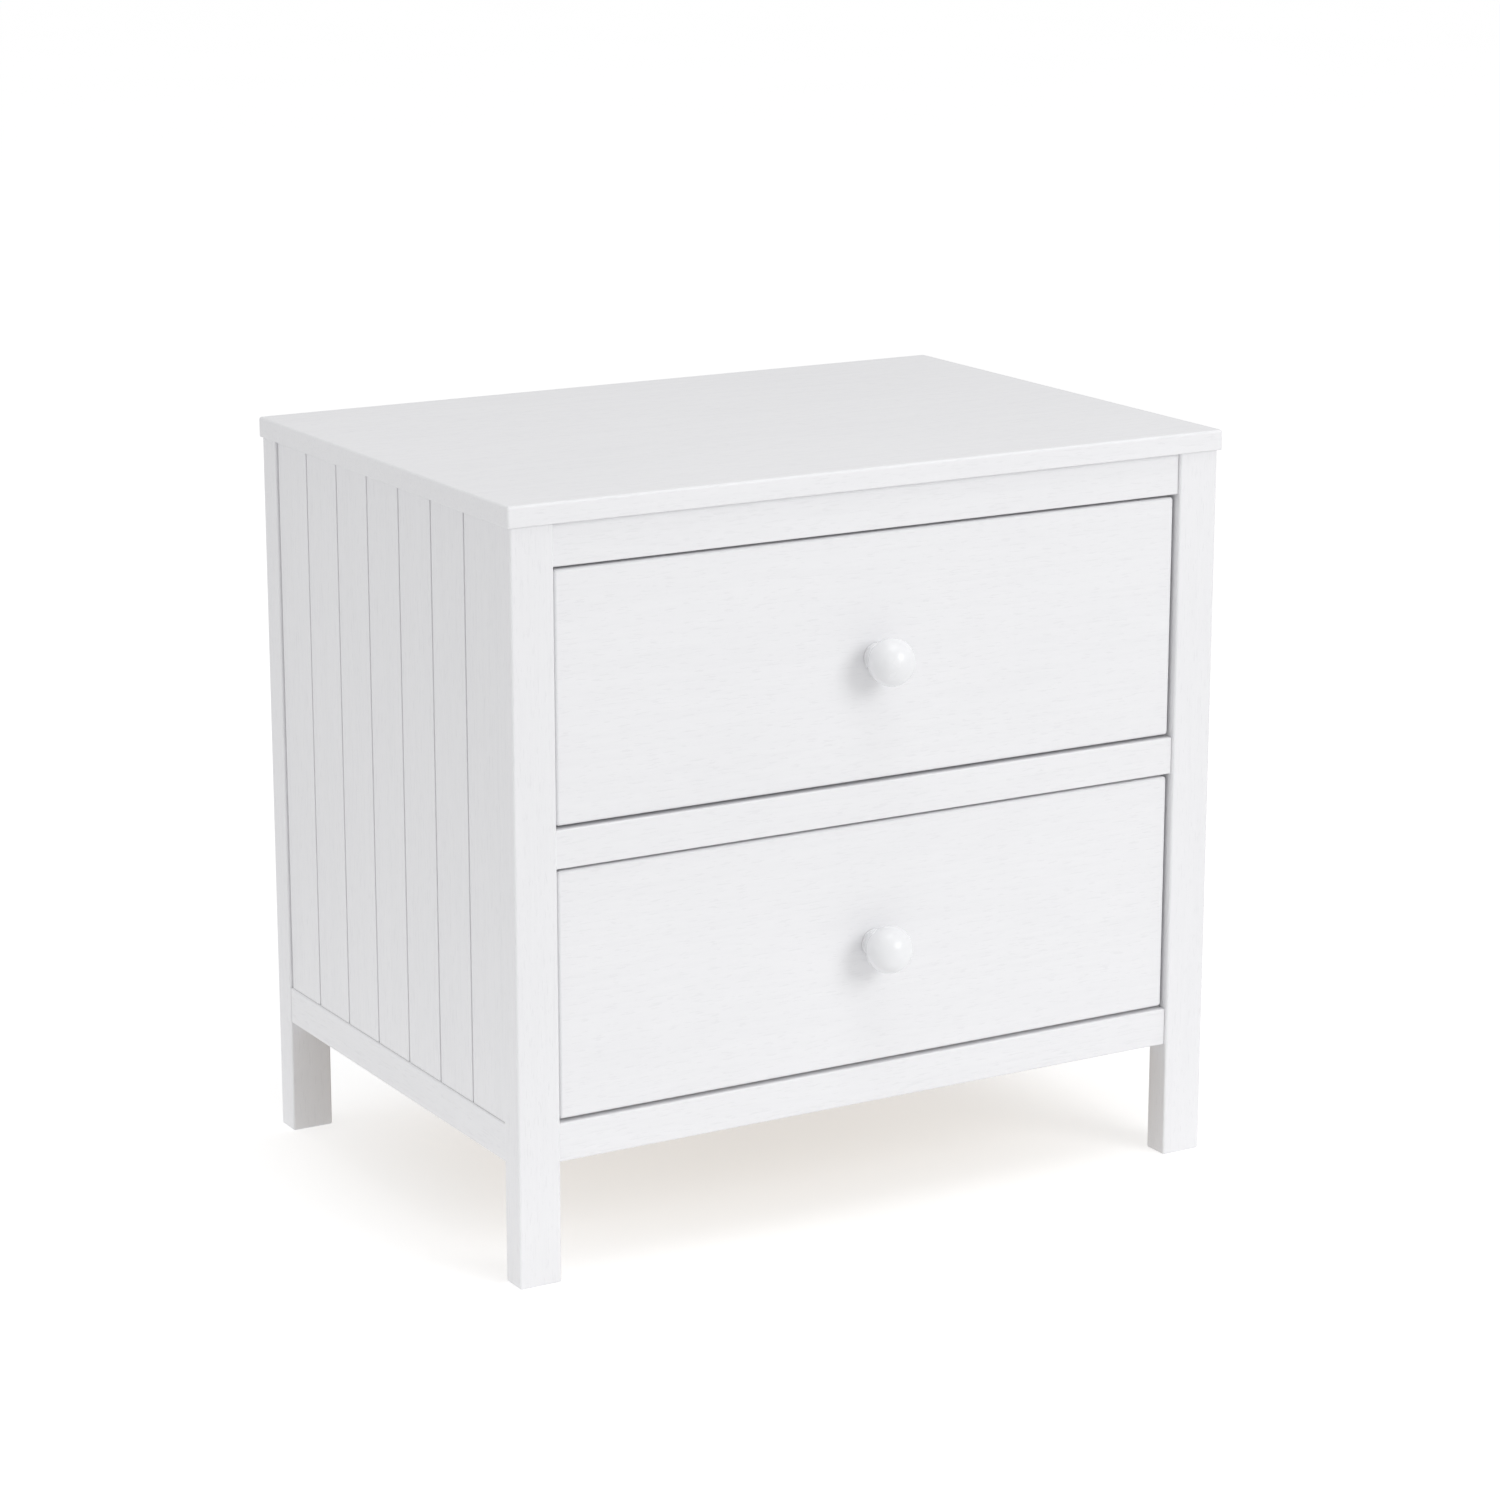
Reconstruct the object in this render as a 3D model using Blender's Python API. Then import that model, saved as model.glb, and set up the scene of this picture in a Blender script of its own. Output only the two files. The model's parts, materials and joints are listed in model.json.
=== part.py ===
"""Two-drawer nightstand: a frame of four legs and rails with plank side panels and an overhanging top.

Two inset drawers with round knobs run on full-extension ball-bearing slides.
Metres, +Z up. The drawers face -Y, and -X is the left-hand side as one stands in front of it.
The origin is on the floor, in the middle of the whole outline with the knobs included.
"""
import math

import bmesh
import bpy
from mathutils import Matrix, Vector

# ---- Driving sizes: the case ----
CASE_WIDTH = 0.629              # over the outer faces of the legs
CASE_DEPTH = 0.4375             # front face of the front legs to back face of the rear legs
LEG_WIDTH = 0.0355              # along X
LEG_DEPTH = 0.0235              # along Y
FLOOR_CLEARANCE = 0.095         # floor to the underside of the bottom rails
BOTTOM_RAIL_HEIGHT = 0.0305
MIDDLE_RAIL_HEIGHT = 0.030
TOP_RAIL_HEIGHT = 0.033
DRAWER_OPENING_HEIGHT = 0.1983  # clear height between two front rails
FRONT_RAIL_THICKNESS = 0.020
FRONT_RAIL_RECESS = 0.003       # behind the front face of the legs
SIDE_RAIL_THICKNESS = 0.018
SIDE_RAIL_RECESS = 0.0010       # inside the outer face of the legs
REAR_RAIL_THICKNESS = 0.016
REAR_RAIL_HEIGHT = 0.033
TOP_THICKNESS = 0.0164
TOP_OVERHANG_SIDE = 0.003
TOP_OVERHANG_FRONT = 0.0025

# ---- Driving sizes: panels and battens ----
SIDE_PANEL_THICKNESS = 0.012
SIDE_PANEL_RECESS = 0.0022      # inside the outer face of the legs
SIDE_PLANK_COUNT = 7
PLANK_GROOVE_WIDTH = 0.0028
PLANK_GROOVE_DEPTH = 0.0020
BACK_PANEL_THICKNESS = 0.005
BACK_PANEL_RECESS = 0.002       # inside the back face of the rear legs
TOP_BATTEN_WIDTH = 0.020
TOP_BATTEN_HEIGHT = 0.022
SLIDE_BATTEN_HEIGHT = 0.052

# ---- Driving sizes: the drawers ----
DRAWER_FRONT_THICKNESS = 0.018
DRAWER_FRONT_RECESS = 0.005     # behind the front face of the legs
DRAWER_REVEAL = 0.0021          # gap all round a drawer front
DRAWER_SIDE_THICKNESS = 0.012
DRAWER_BACK_THICKNESS = 0.012
DRAWER_BOX_LIFT = 0.014         # lower edge of the box above the rail below it
DRAWER_BOX_HEADROOM = 0.0343    # upper edge of the box below the rail above it
DRAWER_BOTTOM_THICKNESS = 0.005
DRAWER_BOTTOM_LIFT = 0.008      # underside of the bottom above the lower edge of the sides
DRAWER_GROOVE_DEPTH = 0.006     # how far the bottom enters the sides and the front
DRAWER_REAR_CLEARANCE = 0.0075  # box to back panel

# ---- Driving sizes: slides, knobs and screws ----
SLIDE_HEIGHT = 0.045
SLIDE_THICKNESS = 0.0127        # from batten to drawer side
SLIDE_SHEET = 0.0012            # steel thickness
SLIDE_RUNNING_GAP = 0.0006      # between two members, where the balls run
SLIDE_CASE_DEPTH = 0.0096       # how deep the case member's channel is
SLIDE_MIDDLE_DEPTH = 0.0090     # how deep the middle member's channel is
SLIDE_DRAWER_DEPTH = 0.0087     # how deep the drawer member's channel is
SLIDE_SETBACK = 0.002           # slide's front end behind the drawer front
SLIDE_REAR_CLEARANCE = 0.005    # slide's rear end to the back panel
SLIDE_MIDDLE_SHORTER = 0.010    # at each end
SLIDE_LIFT = 0.050              # slide's centre line above the lower edge of the box
KNOB_RADIUS = 0.0187
KNOB_BALL_HALF_LENGTH = 0.0172  # the ball is a little flattened along its axis
KNOB_PROJECTION = 0.040         # tip of the knob in front of the drawer front
KNOB_NECK_RADIUS = 0.0085
KNOB_BASE_RADIUS = 0.0112
KNOB_BASE_THICKNESS = 0.0025
KNOB_COVE_RADIUS = 0.0026       # between the neck and the base
KNOB_SCREW_RADIUS = 0.002
KNOB_SCREW_DEPTH = 0.012        # how far the screw enters the knob
TOP_SCREW_RADIUS = 0.002
TOP_SCREW_BITE = 0.010          # how far a screw enters the top
TOP_SCREW_INSET = 0.060         # from a leg's inner face to the screw, along the batten
SCREW_HEAD_RADIUS = 0.004
SCREW_HEAD_HEIGHT = 0.0024

# ---- Driving sizes: eased edges and clearances ----
SEAT_GAP = 0.0003               # between two pieces that are fastened together
LEG_EASE = 0.0018
RAIL_EASE = 0.0012
TOP_EASE = 0.0018
DRAWER_FRONT_EASE = 0.0028
BOX_EASE = 0.0010               # drawer box edges and battens
EASE_STEPS = 3
ROUND_STEPS = 32                # segments round a knob
SCREW_STEPS = 16                # segments round a screw
BALL_STEPS = 13                 # segments from the tip of a knob to its neck
COVE_STEPS = 3                  # segments in the hollow between a knob's neck and base
SMOOTH_ANGLE = math.radians(35)
MERGE_DISTANCE = 0.00001

# ---- Places that follow from the sizes ----
OVERALL_DEPTH = CASE_DEPTH - DRAWER_FRONT_RECESS + KNOB_PROJECTION
CASE_BACK = OVERALL_DEPTH / 2
CASE_FRONT = CASE_BACK - CASE_DEPTH
LEG_OUTER = CASE_WIDTH / 2
LEG_INNER = LEG_OUTER - LEG_WIDTH
FRONT_LEG_BACK = CASE_FRONT + LEG_DEPTH
REAR_LEG_FRONT = CASE_BACK - LEG_DEPTH

BOTTOM_RAIL_TOP = FLOOR_CLEARANCE + BOTTOM_RAIL_HEIGHT
MIDDLE_RAIL_BOTTOM = BOTTOM_RAIL_TOP + DRAWER_OPENING_HEIGHT
MIDDLE_RAIL_TOP = MIDDLE_RAIL_BOTTOM + MIDDLE_RAIL_HEIGHT
TOP_RAIL_BOTTOM = MIDDLE_RAIL_TOP + DRAWER_OPENING_HEIGHT
CASE_HEIGHT = TOP_RAIL_BOTTOM + TOP_RAIL_HEIGHT

RAIL_FRONT = CASE_FRONT + FRONT_RAIL_RECESS
SIDE_PANEL_OUTER = LEG_OUTER - SIDE_PANEL_RECESS
SIDE_PANEL_INNER = SIDE_PANEL_OUTER - SIDE_PANEL_THICKNESS
BATTEN_OUTER = SIDE_PANEL_INNER - SEAT_GAP
BACK_PANEL_BACK = CASE_BACK - BACK_PANEL_RECESS
BACK_PANEL_FRONT = BACK_PANEL_BACK - BACK_PANEL_THICKNESS
REAR_RAIL_BACK = BACK_PANEL_FRONT - SEAT_GAP

DRAWER_FACE = CASE_FRONT + DRAWER_FRONT_RECESS
DRAWER_FRONT_BACK = DRAWER_FACE + DRAWER_FRONT_THICKNESS
DRAWER_FRONT_HALF_WIDTH = LEG_INNER - DRAWER_REVEAL
SLIDE_SEAT = LEG_INNER - SEAT_GAP
DRAWER_BOX_OUTER = SLIDE_SEAT - SLIDE_THICKNESS - SEAT_GAP
DRAWER_BOX_INNER = DRAWER_BOX_OUTER - DRAWER_SIDE_THICKNESS
DRAWER_BOX_FRONT = DRAWER_FRONT_BACK + SEAT_GAP
DRAWER_BOX_REAR = BACK_PANEL_FRONT - DRAWER_REAR_CLEARANCE
SLIDE_FRONT = DRAWER_FRONT_BACK + SLIDE_SETBACK
SLIDE_REAR = BACK_PANEL_FRONT - SLIDE_REAR_CLEARANCE
TOP_SCREW_X = BATTEN_OUTER - TOP_BATTEN_WIDTH / 2

SIDES = (("left", -1), ("right", 1))
DRAWERS = (("upper", MIDDLE_RAIL_TOP), ("lower", BOTTOM_RAIL_TOP))


# ---- Finishes ----
def make_material(name, colour, roughness, metallic=0.0):
    """A Principled finish."""
    material = bpy.data.materials.new(name)
    material.use_nodes = True
    shader = material.node_tree.nodes["Principled BSDF"]
    shader.inputs["Base Color"].default_value = (*colour, 1.0)
    shader.inputs["Roughness"].default_value = roughness
    shader.inputs["Metallic"].default_value = metallic
    material.diffuse_color = (*colour, 1.0)
    return material


# ---- Helpers ----
def make_empty(name, place):
    """An empty that carries the pieces of one moving body."""
    empty = bpy.data.objects.new(name, None)
    empty.location = place
    bpy.context.scene.collection.objects.link(empty)
    return empty


def add_piece(name, bm, material, carrier, smooth=False):
    """Turn a bmesh in world coordinates into a named object with its origin in its middle."""
    bmesh.ops.recalc_face_normals(bm, faces=bm.faces)
    low = Vector([min(v.co[i] for v in bm.verts) for i in range(3)])
    high = Vector([max(v.co[i] for v in bm.verts) for i in range(3)])
    middle = (low + high) / 2
    bmesh.ops.translate(bm, vec=-middle, verts=bm.verts)
    mesh = bpy.data.meshes.new(name)
    bm.to_mesh(mesh)
    bm.free()
    if smooth:
        mesh.shade_smooth()
        mesh.set_sharp_from_angle(angle=SMOOTH_ANGLE)
    if material is not None:
        mesh.materials.append(material)
    piece = bpy.data.objects.new(name, mesh)
    bpy.context.scene.collection.objects.link(piece)
    piece.parent = carrier
    piece.location = middle if carrier is None else middle - carrier.location
    return piece


def box_bmesh(low, high):
    """A plain box between two corners."""
    bm = bmesh.new()
    bmesh.ops.create_cube(bm, size=1.0)
    size = Vector(high) - Vector(low)
    middle = (Vector(high) + Vector(low)) / 2
    bmesh.ops.transform(bm, matrix=Matrix.Translation(middle) @ Matrix.Diagonal((*size, 1.0)), verts=bm.verts)
    return bm


def make_board(name, low, high, material, carrier, ease=0.0, is_eased=None):
    """A board with some of its edges rounded over; is_eased picks them by their middle point."""
    bm = box_bmesh(low, high)
    if ease > 0.0:
        edges = [e for e in bm.edges if is_eased is None or is_eased((e.verts[0].co + e.verts[1].co) / 2)]
        bmesh.ops.bevel(bm, geom=edges, offset=ease, segments=EASE_STEPS, profile=0.5, affect="EDGES")
    return add_piece(name, bm, material, carrier)


def make_extrusion(name, outline, start, end, to_world, material, carrier):
    """A closed outline of (u, v) points drawn out from start to end; to_world(u, v, w) places a point."""
    bm = bmesh.new()
    lower = [bm.verts.new(to_world(u, v, start)) for u, v in outline]
    upper = [bm.verts.new(to_world(u, v, end)) for u, v in outline]
    count = len(outline)
    for i in range(count):
        j = (i + 1) % count
        bm.faces.new((lower[i], lower[j], upper[j], upper[i]))
    bm.faces.new(lower)
    bm.faces.new(upper)
    return add_piece(name, bm, material, carrier)


def make_turning(name, profile, foot, direction, steps, material, carrier):
    """A turned piece: (radius, distance) points along an axis that starts at foot and runs in direction."""
    turn = Vector((0.0, 0.0, 1.0)).rotation_difference(Vector(direction)).to_matrix().to_4x4()
    bm = bmesh.new()
    ring = [bm.verts.new((radius, 0.0, distance)) for radius, distance in profile]
    edges = [bm.edges.new((a, b)) for a, b in zip(ring[:-1], ring[1:])]
    bmesh.ops.spin(bm, geom=ring + edges, cent=(0, 0, 0), axis=(0, 0, 1), angle=math.tau, steps=steps)
    bmesh.ops.remove_doubles(bm, verts=bm.verts, dist=MERGE_DISTANCE)
    bmesh.ops.transform(bm, matrix=Matrix.Translation(foot) @ turn, verts=bm.verts)
    return add_piece(name, bm, material, carrier, smooth=True)


def rod_bmesh(radius, foot, top):
    """A plain upright rod, used to drill a hole."""
    bm = bmesh.new()
    length = top - foot[2]
    bmesh.ops.create_cone(bm, cap_ends=True, segments=SCREW_STEPS, radius1=radius, radius2=radius, depth=length)
    bmesh.ops.translate(bm, vec=(foot[0], foot[1], foot[2] + length / 2), verts=bm.verts)
    return bm


def cut(piece, name, bm):
    """Cut a shape out of a piece."""
    cutter = add_piece(name, bm, None, None)
    cutter.hide_render = True
    cutter.display_type = "WIRE"
    modifier = piece.modifiers.new(name, "BOOLEAN")
    modifier.operation = "DIFFERENCE"
    modifier.solver = "EXACT"
    modifier.object = cutter


def screw_profile(radius, length):
    """A pan-head screw, from the middle of its head to its flat end; distance 0 is under the head."""
    crown = [(0.0, -SCREW_HEAD_HEIGHT)]
    for angle in (math.radians(60), math.radians(30), 0.0):
        crown.append((SCREW_HEAD_RADIUS * math.cos(angle), -SCREW_HEAD_HEIGHT * math.sin(angle)))
    return crown + [(radius, 0.0), (radius, length), (0.0, length)]


# ---- The case: legs, rails, panels and top ----
def build_case(paint, raw_board):
    case = make_empty("case", (0.0, 0.0, 0.0))
    leg_top = CASE_HEIGHT - SEAT_GAP
    rail_end = LEG_INNER - SEAT_GAP
    between_front = FRONT_LEG_BACK + SEAT_GAP
    between_rear = REAR_LEG_FRONT - SEAT_GAP

    top_low = (-LEG_OUTER - TOP_OVERHANG_SIDE, CASE_FRONT - TOP_OVERHANG_FRONT, CASE_HEIGHT)
    top_high = (LEG_OUTER + TOP_OVERHANG_SIDE, CASE_BACK, CASE_HEIGHT + TOP_THICKNESS)
    top = make_board("top_panel", top_low, top_high, paint, case, TOP_EASE)

    for side, sign in SIDES:
        x_low, x_high = sorted((sign * LEG_OUTER, sign * LEG_INNER))
        for place, y_low, y_high in (("front", CASE_FRONT, FRONT_LEG_BACK), ("rear", REAR_LEG_FRONT, CASE_BACK)):
            make_board(f"leg_{place}_{side}", (x_low, y_low, 0.0), (x_high, y_high, leg_top),
                       paint, case, LEG_EASE, lambda p: p.z < leg_top - LEG_EASE)

    # Front rails sit between the front legs; only their front edges are eased.
    rails = (("top", TOP_RAIL_BOTTOM, leg_top),
             ("middle", MIDDLE_RAIL_BOTTOM, MIDDLE_RAIL_TOP),
             ("bottom", FLOOR_CLEARANCE, BOTTOM_RAIL_TOP))
    for place, z_low, z_high in rails:
        make_board(f"front_rail_{place}", (-rail_end, RAIL_FRONT, z_low),
                   (rail_end, RAIL_FRONT + FRONT_RAIL_THICKNESS, z_high),
                   paint, case, RAIL_EASE, lambda p: p.y < RAIL_FRONT + RAIL_EASE and abs(p.x) < RAIL_EASE)

    # Rear rails carry the back panel, which closes the case between the rear legs.
    rear_front = REAR_RAIL_BACK - REAR_RAIL_THICKNESS
    for place, z_low in (("top", leg_top - REAR_RAIL_HEIGHT), ("bottom", FLOOR_CLEARANCE)):
        make_board(f"rear_rail_{place}", (-rail_end, rear_front, z_low),
                   (rail_end, REAR_RAIL_BACK, z_low + REAR_RAIL_HEIGHT), paint, case, BOX_EASE,
                   lambda p: p.y < rear_front + BOX_EASE and abs(p.x) < BOX_EASE)
    make_board("back_panel", (-rail_end, BACK_PANEL_FRONT, FLOOR_CLEARANCE),
               (rail_end, BACK_PANEL_BACK, leg_top), raw_board, case)

    for side, sign in SIDES:
        x_low, x_high = sorted((sign * (LEG_OUTER - SIDE_RAIL_RECESS),
                                sign * (LEG_OUTER - SIDE_RAIL_RECESS - SIDE_RAIL_THICKNESS)))
        make_board(f"side_rail_{side}", (x_low, between_front, FLOOR_CLEARANCE),
                   (x_high, between_rear, BOTTOM_RAIL_TOP), paint, case, RAIL_EASE,
                   lambda p: abs(p.x) > LEG_OUTER - SIDE_RAIL_RECESS - RAIL_EASE
                   and abs(p.z - (FLOOR_CLEARANCE + BOTTOM_RAIL_TOP) / 2) > RAIL_EASE)
        build_side_panel(side, sign, between_front, between_rear, leg_top, paint, case)
        build_top_batten(side, sign, between_front, between_rear, leg_top, top, case, paint)
        batten_low, batten_high = sorted((sign * BATTEN_OUTER, sign * LEG_INNER))
        for level, opening_bottom in DRAWERS:
            middle = slide_height(opening_bottom)
            make_board(f"slide_batten_{level}_{side}",
                       (batten_low, between_front, middle - SLIDE_BATTEN_HEIGHT / 2),
                       (batten_high, between_rear, middle + SLIDE_BATTEN_HEIGHT / 2), paint, case)
    return case


def build_side_panel(side, sign, y_start, y_end, z_top, paint, case):
    """A panel of upright planks, parted by V grooves cut in its outer face."""
    plank = (y_end - y_start) / SIDE_PLANK_COUNT
    outline = [(SIDE_PANEL_INNER, y_end), (SIDE_PANEL_INNER, y_start), (SIDE_PANEL_OUTER, y_start)]
    for i in range(1, SIDE_PLANK_COUNT):
        y = y_start + i * plank
        outline.append((SIDE_PANEL_OUTER, y - PLANK_GROOVE_WIDTH / 2))
        outline.append((SIDE_PANEL_OUTER - PLANK_GROOVE_DEPTH, y))
        outline.append((SIDE_PANEL_OUTER, y + PLANK_GROOVE_WIDTH / 2))
    outline.append((SIDE_PANEL_OUTER, y_end))
    make_extrusion(f"side_panel_{side}", outline, BOTTOM_RAIL_TOP + SEAT_GAP, z_top,
                   lambda x, y, z: (sign * x, y, z), paint, case)


def build_top_batten(side, sign, y_start, y_end, z_top, top, case, paint):
    """A batten along the upper edge of a side panel, with two screws up into the top."""
    z_low = z_top - TOP_BATTEN_HEIGHT
    x_low, x_high = sorted((sign * BATTEN_OUTER, sign * (BATTEN_OUTER - TOP_BATTEN_WIDTH)))
    batten = make_board(f"top_batten_{side}", (x_low, y_start, z_low), (x_high, y_end, z_top), paint, case)
    steel = bpy.data.materials["zinc_steel"]
    head_seat = z_low - SEAT_GAP
    hole_radius = TOP_SCREW_RADIUS + SEAT_GAP
    tip = CASE_HEIGHT + TOP_SCREW_BITE
    for place, y in (("front", y_start + TOP_SCREW_INSET), ("rear", y_end - TOP_SCREW_INSET)):
        foot = (sign * TOP_SCREW_X, y, head_seat)
        make_turning(f"top_screw_{place}_{side}", screw_profile(TOP_SCREW_RADIUS, tip - head_seat),
                     foot, (0, 0, 1), SCREW_STEPS, steel, case)
        drill = f"{place}_{side}_hole"
        cut(batten, f"batten_{drill}", rod_bmesh(hole_radius, (foot[0], y, z_low - SEAT_GAP), z_top + SEAT_GAP))
        cut(top, f"top_{drill}", rod_bmesh(hole_radius, (foot[0], y, CASE_HEIGHT - SEAT_GAP), tip + SEAT_GAP))


# ---- Slides ----
def slide_height(opening_bottom):
    """Height of a slide's centre line in the opening that starts at opening_bottom."""
    return opening_bottom + DRAWER_BOX_LIFT + SLIDE_LIFT


def channel_outline(web_x, depth, half_height, web_first):
    """A C channel with its web at web_x; web_first says whether it opens towards larger x."""
    far = web_x + depth if web_first else web_x - depth
    inside = web_x + SLIDE_SHEET if web_first else web_x - SLIDE_SHEET
    inner_half = half_height - SLIDE_SHEET
    return [(web_x, -half_height), (far, -half_height), (far, -inner_half), (inside, -inner_half),
            (inside, inner_half), (far, inner_half), (far, half_height), (web_x, half_height)]


def make_member(name, outline, sign, height, y_start, y_end, material, carrier):
    """One member of a slide; the outline's x is measured from the batten towards the drawer."""
    make_extrusion(name, outline, y_start, y_end,
                   lambda x, z, y: (sign * (SLIDE_SEAT - x), y, height + z), material, carrier)


def build_slides(level, opening_bottom, case, middle_carrier, drawer, steel):
    height = slide_height(opening_bottom)
    case_half = SLIDE_HEIGHT / 2
    middle_half = case_half - SLIDE_SHEET - SLIDE_RUNNING_GAP
    drawer_half = middle_half - SLIDE_SHEET - SLIDE_RUNNING_GAP
    case_member = channel_outline(0.0, SLIDE_CASE_DEPTH, case_half, True)
    middle_member = channel_outline(SLIDE_SHEET + SLIDE_RUNNING_GAP, SLIDE_MIDDLE_DEPTH, middle_half, True)
    drawer_member = channel_outline(SLIDE_THICKNESS, SLIDE_DRAWER_DEPTH, drawer_half, False)
    for side, sign in SIDES:
        make_member(f"slide_case_{level}_{side}", case_member, sign, height,
                    SLIDE_FRONT, SLIDE_REAR, steel, case)
        make_member(f"slide_middle_{level}_{side}", middle_member, sign, height,
                    SLIDE_FRONT + SLIDE_MIDDLE_SHORTER, SLIDE_REAR - SLIDE_MIDDLE_SHORTER, steel, middle_carrier)
        make_member(f"slide_drawer_{level}_{side}", drawer_member, sign, height,
                    SLIDE_FRONT, SLIDE_REAR, steel, drawer)


# ---- Drawers ----
def knob_profile():
    """From the tip of the ball, over the neck and the base, into the screw hole; distance 0 is the drawer face."""
    centre = KNOB_PROJECTION - KNOB_BALL_HALF_LENGTH
    ball_end = math.acos(KNOB_NECK_RADIUS / KNOB_RADIUS)
    profile = [(0.0, KNOB_PROJECTION)]
    for i in range(1, BALL_STEPS + 1):
        angle = math.pi / 2 - (math.pi / 2 + ball_end) * i / BALL_STEPS
        profile.append((KNOB_RADIUS * math.cos(angle), centre + KNOB_BALL_HALF_LENGTH * math.sin(angle)))
    cove_centre = KNOB_BASE_THICKNESS + KNOB_COVE_RADIUS
    for i in range(COVE_STEPS + 1):
        angle = math.pi / 2 * i / COVE_STEPS
        profile.append((KNOB_NECK_RADIUS + KNOB_COVE_RADIUS * (1 - math.cos(angle)),
                        cove_centre - KNOB_COVE_RADIUS * math.sin(angle)))
    hole_radius = KNOB_SCREW_RADIUS + SEAT_GAP
    hole_end = KNOB_SCREW_DEPTH + SEAT_GAP
    profile += [(KNOB_BASE_RADIUS, KNOB_BASE_THICKNESS), (KNOB_BASE_RADIUS, SEAT_GAP),
                (hole_radius, SEAT_GAP), (hole_radius, hole_end), (0.0, hole_end)]
    return profile


def build_drawer(level, opening_bottom, drawer, paint, box_wood, box_ply, knob_paint, steel):
    name = f"drawer_{level}"
    opening_top = opening_bottom + DRAWER_OPENING_HEIGHT
    face_middle = (opening_bottom + opening_top) / 2
    box_low = opening_bottom + DRAWER_BOX_LIFT
    box_high = opening_top - DRAWER_BOX_HEADROOM
    bottom_low = box_low + DRAWER_BOTTOM_LIFT
    bottom_high = bottom_low + DRAWER_BOTTOM_THICKNESS
    groove_reach = DRAWER_GROOVE_DEPTH + SEAT_GAP

    front = make_board(f"{name}_front",
                       (-DRAWER_FRONT_HALF_WIDTH, DRAWER_FACE, opening_bottom + DRAWER_REVEAL),
                       (DRAWER_FRONT_HALF_WIDTH, DRAWER_FRONT_BACK, opening_top - DRAWER_REVEAL),
                       paint, drawer, DRAWER_FRONT_EASE,
                       lambda p: p.y < DRAWER_FRONT_BACK - DRAWER_FRONT_EASE)
    bottom_half = DRAWER_BOX_INNER + DRAWER_GROOVE_DEPTH
    cut(front, f"{name}_front_groove",
        box_bmesh((-bottom_half - SEAT_GAP, DRAWER_FRONT_BACK - groove_reach, bottom_low - SEAT_GAP),
                  (bottom_half + SEAT_GAP, DRAWER_FRONT_BACK + groove_reach, bottom_high + SEAT_GAP)))
    hole = rod_bmesh(KNOB_SCREW_RADIUS + SEAT_GAP, (0.0, 0.0, -DRAWER_FRONT_THICKNESS), DRAWER_FRONT_THICKNESS)
    bmesh.ops.rotate(hole, cent=(0, 0, 0), matrix=Matrix.Rotation(math.pi / 2, 3, "X"), verts=hole.verts)
    front_middle = (DRAWER_FACE + DRAWER_FRONT_BACK) / 2
    bmesh.ops.translate(hole, vec=(0.0, front_middle, face_middle), verts=hole.verts)
    cut(front, f"{name}_knob_hole", hole)

    # Each side has a groove on its inner face for the bottom.
    groove_x = DRAWER_BOX_INNER + groove_reach
    outline = [(DRAWER_BOX_INNER, box_low), (DRAWER_BOX_OUTER, box_low), (DRAWER_BOX_OUTER, box_high),
               (DRAWER_BOX_INNER, box_high), (DRAWER_BOX_INNER, bottom_high + SEAT_GAP),
               (groove_x, bottom_high + SEAT_GAP), (groove_x, bottom_low - SEAT_GAP),
               (DRAWER_BOX_INNER, bottom_low - SEAT_GAP)]
    for side, sign in SIDES:
        make_extrusion(f"{name}_side_{side}", outline, DRAWER_BOX_FRONT, DRAWER_BOX_REAR,
                       lambda x, z, y: (sign * x, y, z), box_wood, drawer)
    back_end = DRAWER_BOX_INNER - SEAT_GAP
    make_board(f"{name}_back", (-back_end, DRAWER_BOX_REAR - DRAWER_BACK_THICKNESS, bottom_high + SEAT_GAP),
               (back_end, DRAWER_BOX_REAR, box_high), box_wood, drawer)
    make_board(f"{name}_bottom", (-bottom_half, DRAWER_FRONT_BACK - DRAWER_GROOVE_DEPTH, bottom_low),
               (bottom_half, DRAWER_BOX_REAR, bottom_high), box_ply, drawer)

    outward = (0, -1, 0)
    make_turning(f"knob_{level}", knob_profile(), (0.0, DRAWER_FACE, face_middle), outward,
                 ROUND_STEPS, knob_paint, drawer)
    head_seat = DRAWER_FRONT_BACK + SEAT_GAP
    make_turning(f"knob_screw_{level}",
                 screw_profile(KNOB_SCREW_RADIUS, head_seat - DRAWER_FACE + KNOB_SCREW_DEPTH),
                 (0.0, head_seat, face_middle), outward, SCREW_STEPS, steel, drawer)


# ---- Build ----
def main():
    for old in list(bpy.data.objects):
        bpy.data.objects.remove(old, do_unlink=True)
    paint = make_material("white_paint", (0.82, 0.83, 0.85), 0.45)
    knob_paint = make_material("white_gloss_paint", (0.84, 0.85, 0.87), 0.25)
    box_wood = make_material("drawer_pine", (0.66, 0.49, 0.31), 0.55)
    box_ply = make_material("drawer_plywood", (0.70, 0.55, 0.37), 0.60)
    raw_board = make_material("back_board", (0.80, 0.81, 0.83), 0.60)
    steel = make_material("zinc_steel", (0.62, 0.63, 0.65), 0.32, 1.0)

    case = build_case(paint, raw_board)
    slide_middle_y = (SLIDE_FRONT + SLIDE_REAR) / 2
    for level, opening_bottom in DRAWERS:
        height = slide_height(opening_bottom)
        drawer = make_empty(f"drawer_{level}", (0.0, DRAWER_FACE, height))
        middle_carrier = make_empty(f"slide_middle_{level}", (0.0, slide_middle_y, height))
        build_slides(level, opening_bottom, case, middle_carrier, drawer, steel)
        build_drawer(level, opening_bottom, drawer, paint, box_wood, box_ply, knob_paint, steel)


main()
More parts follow.
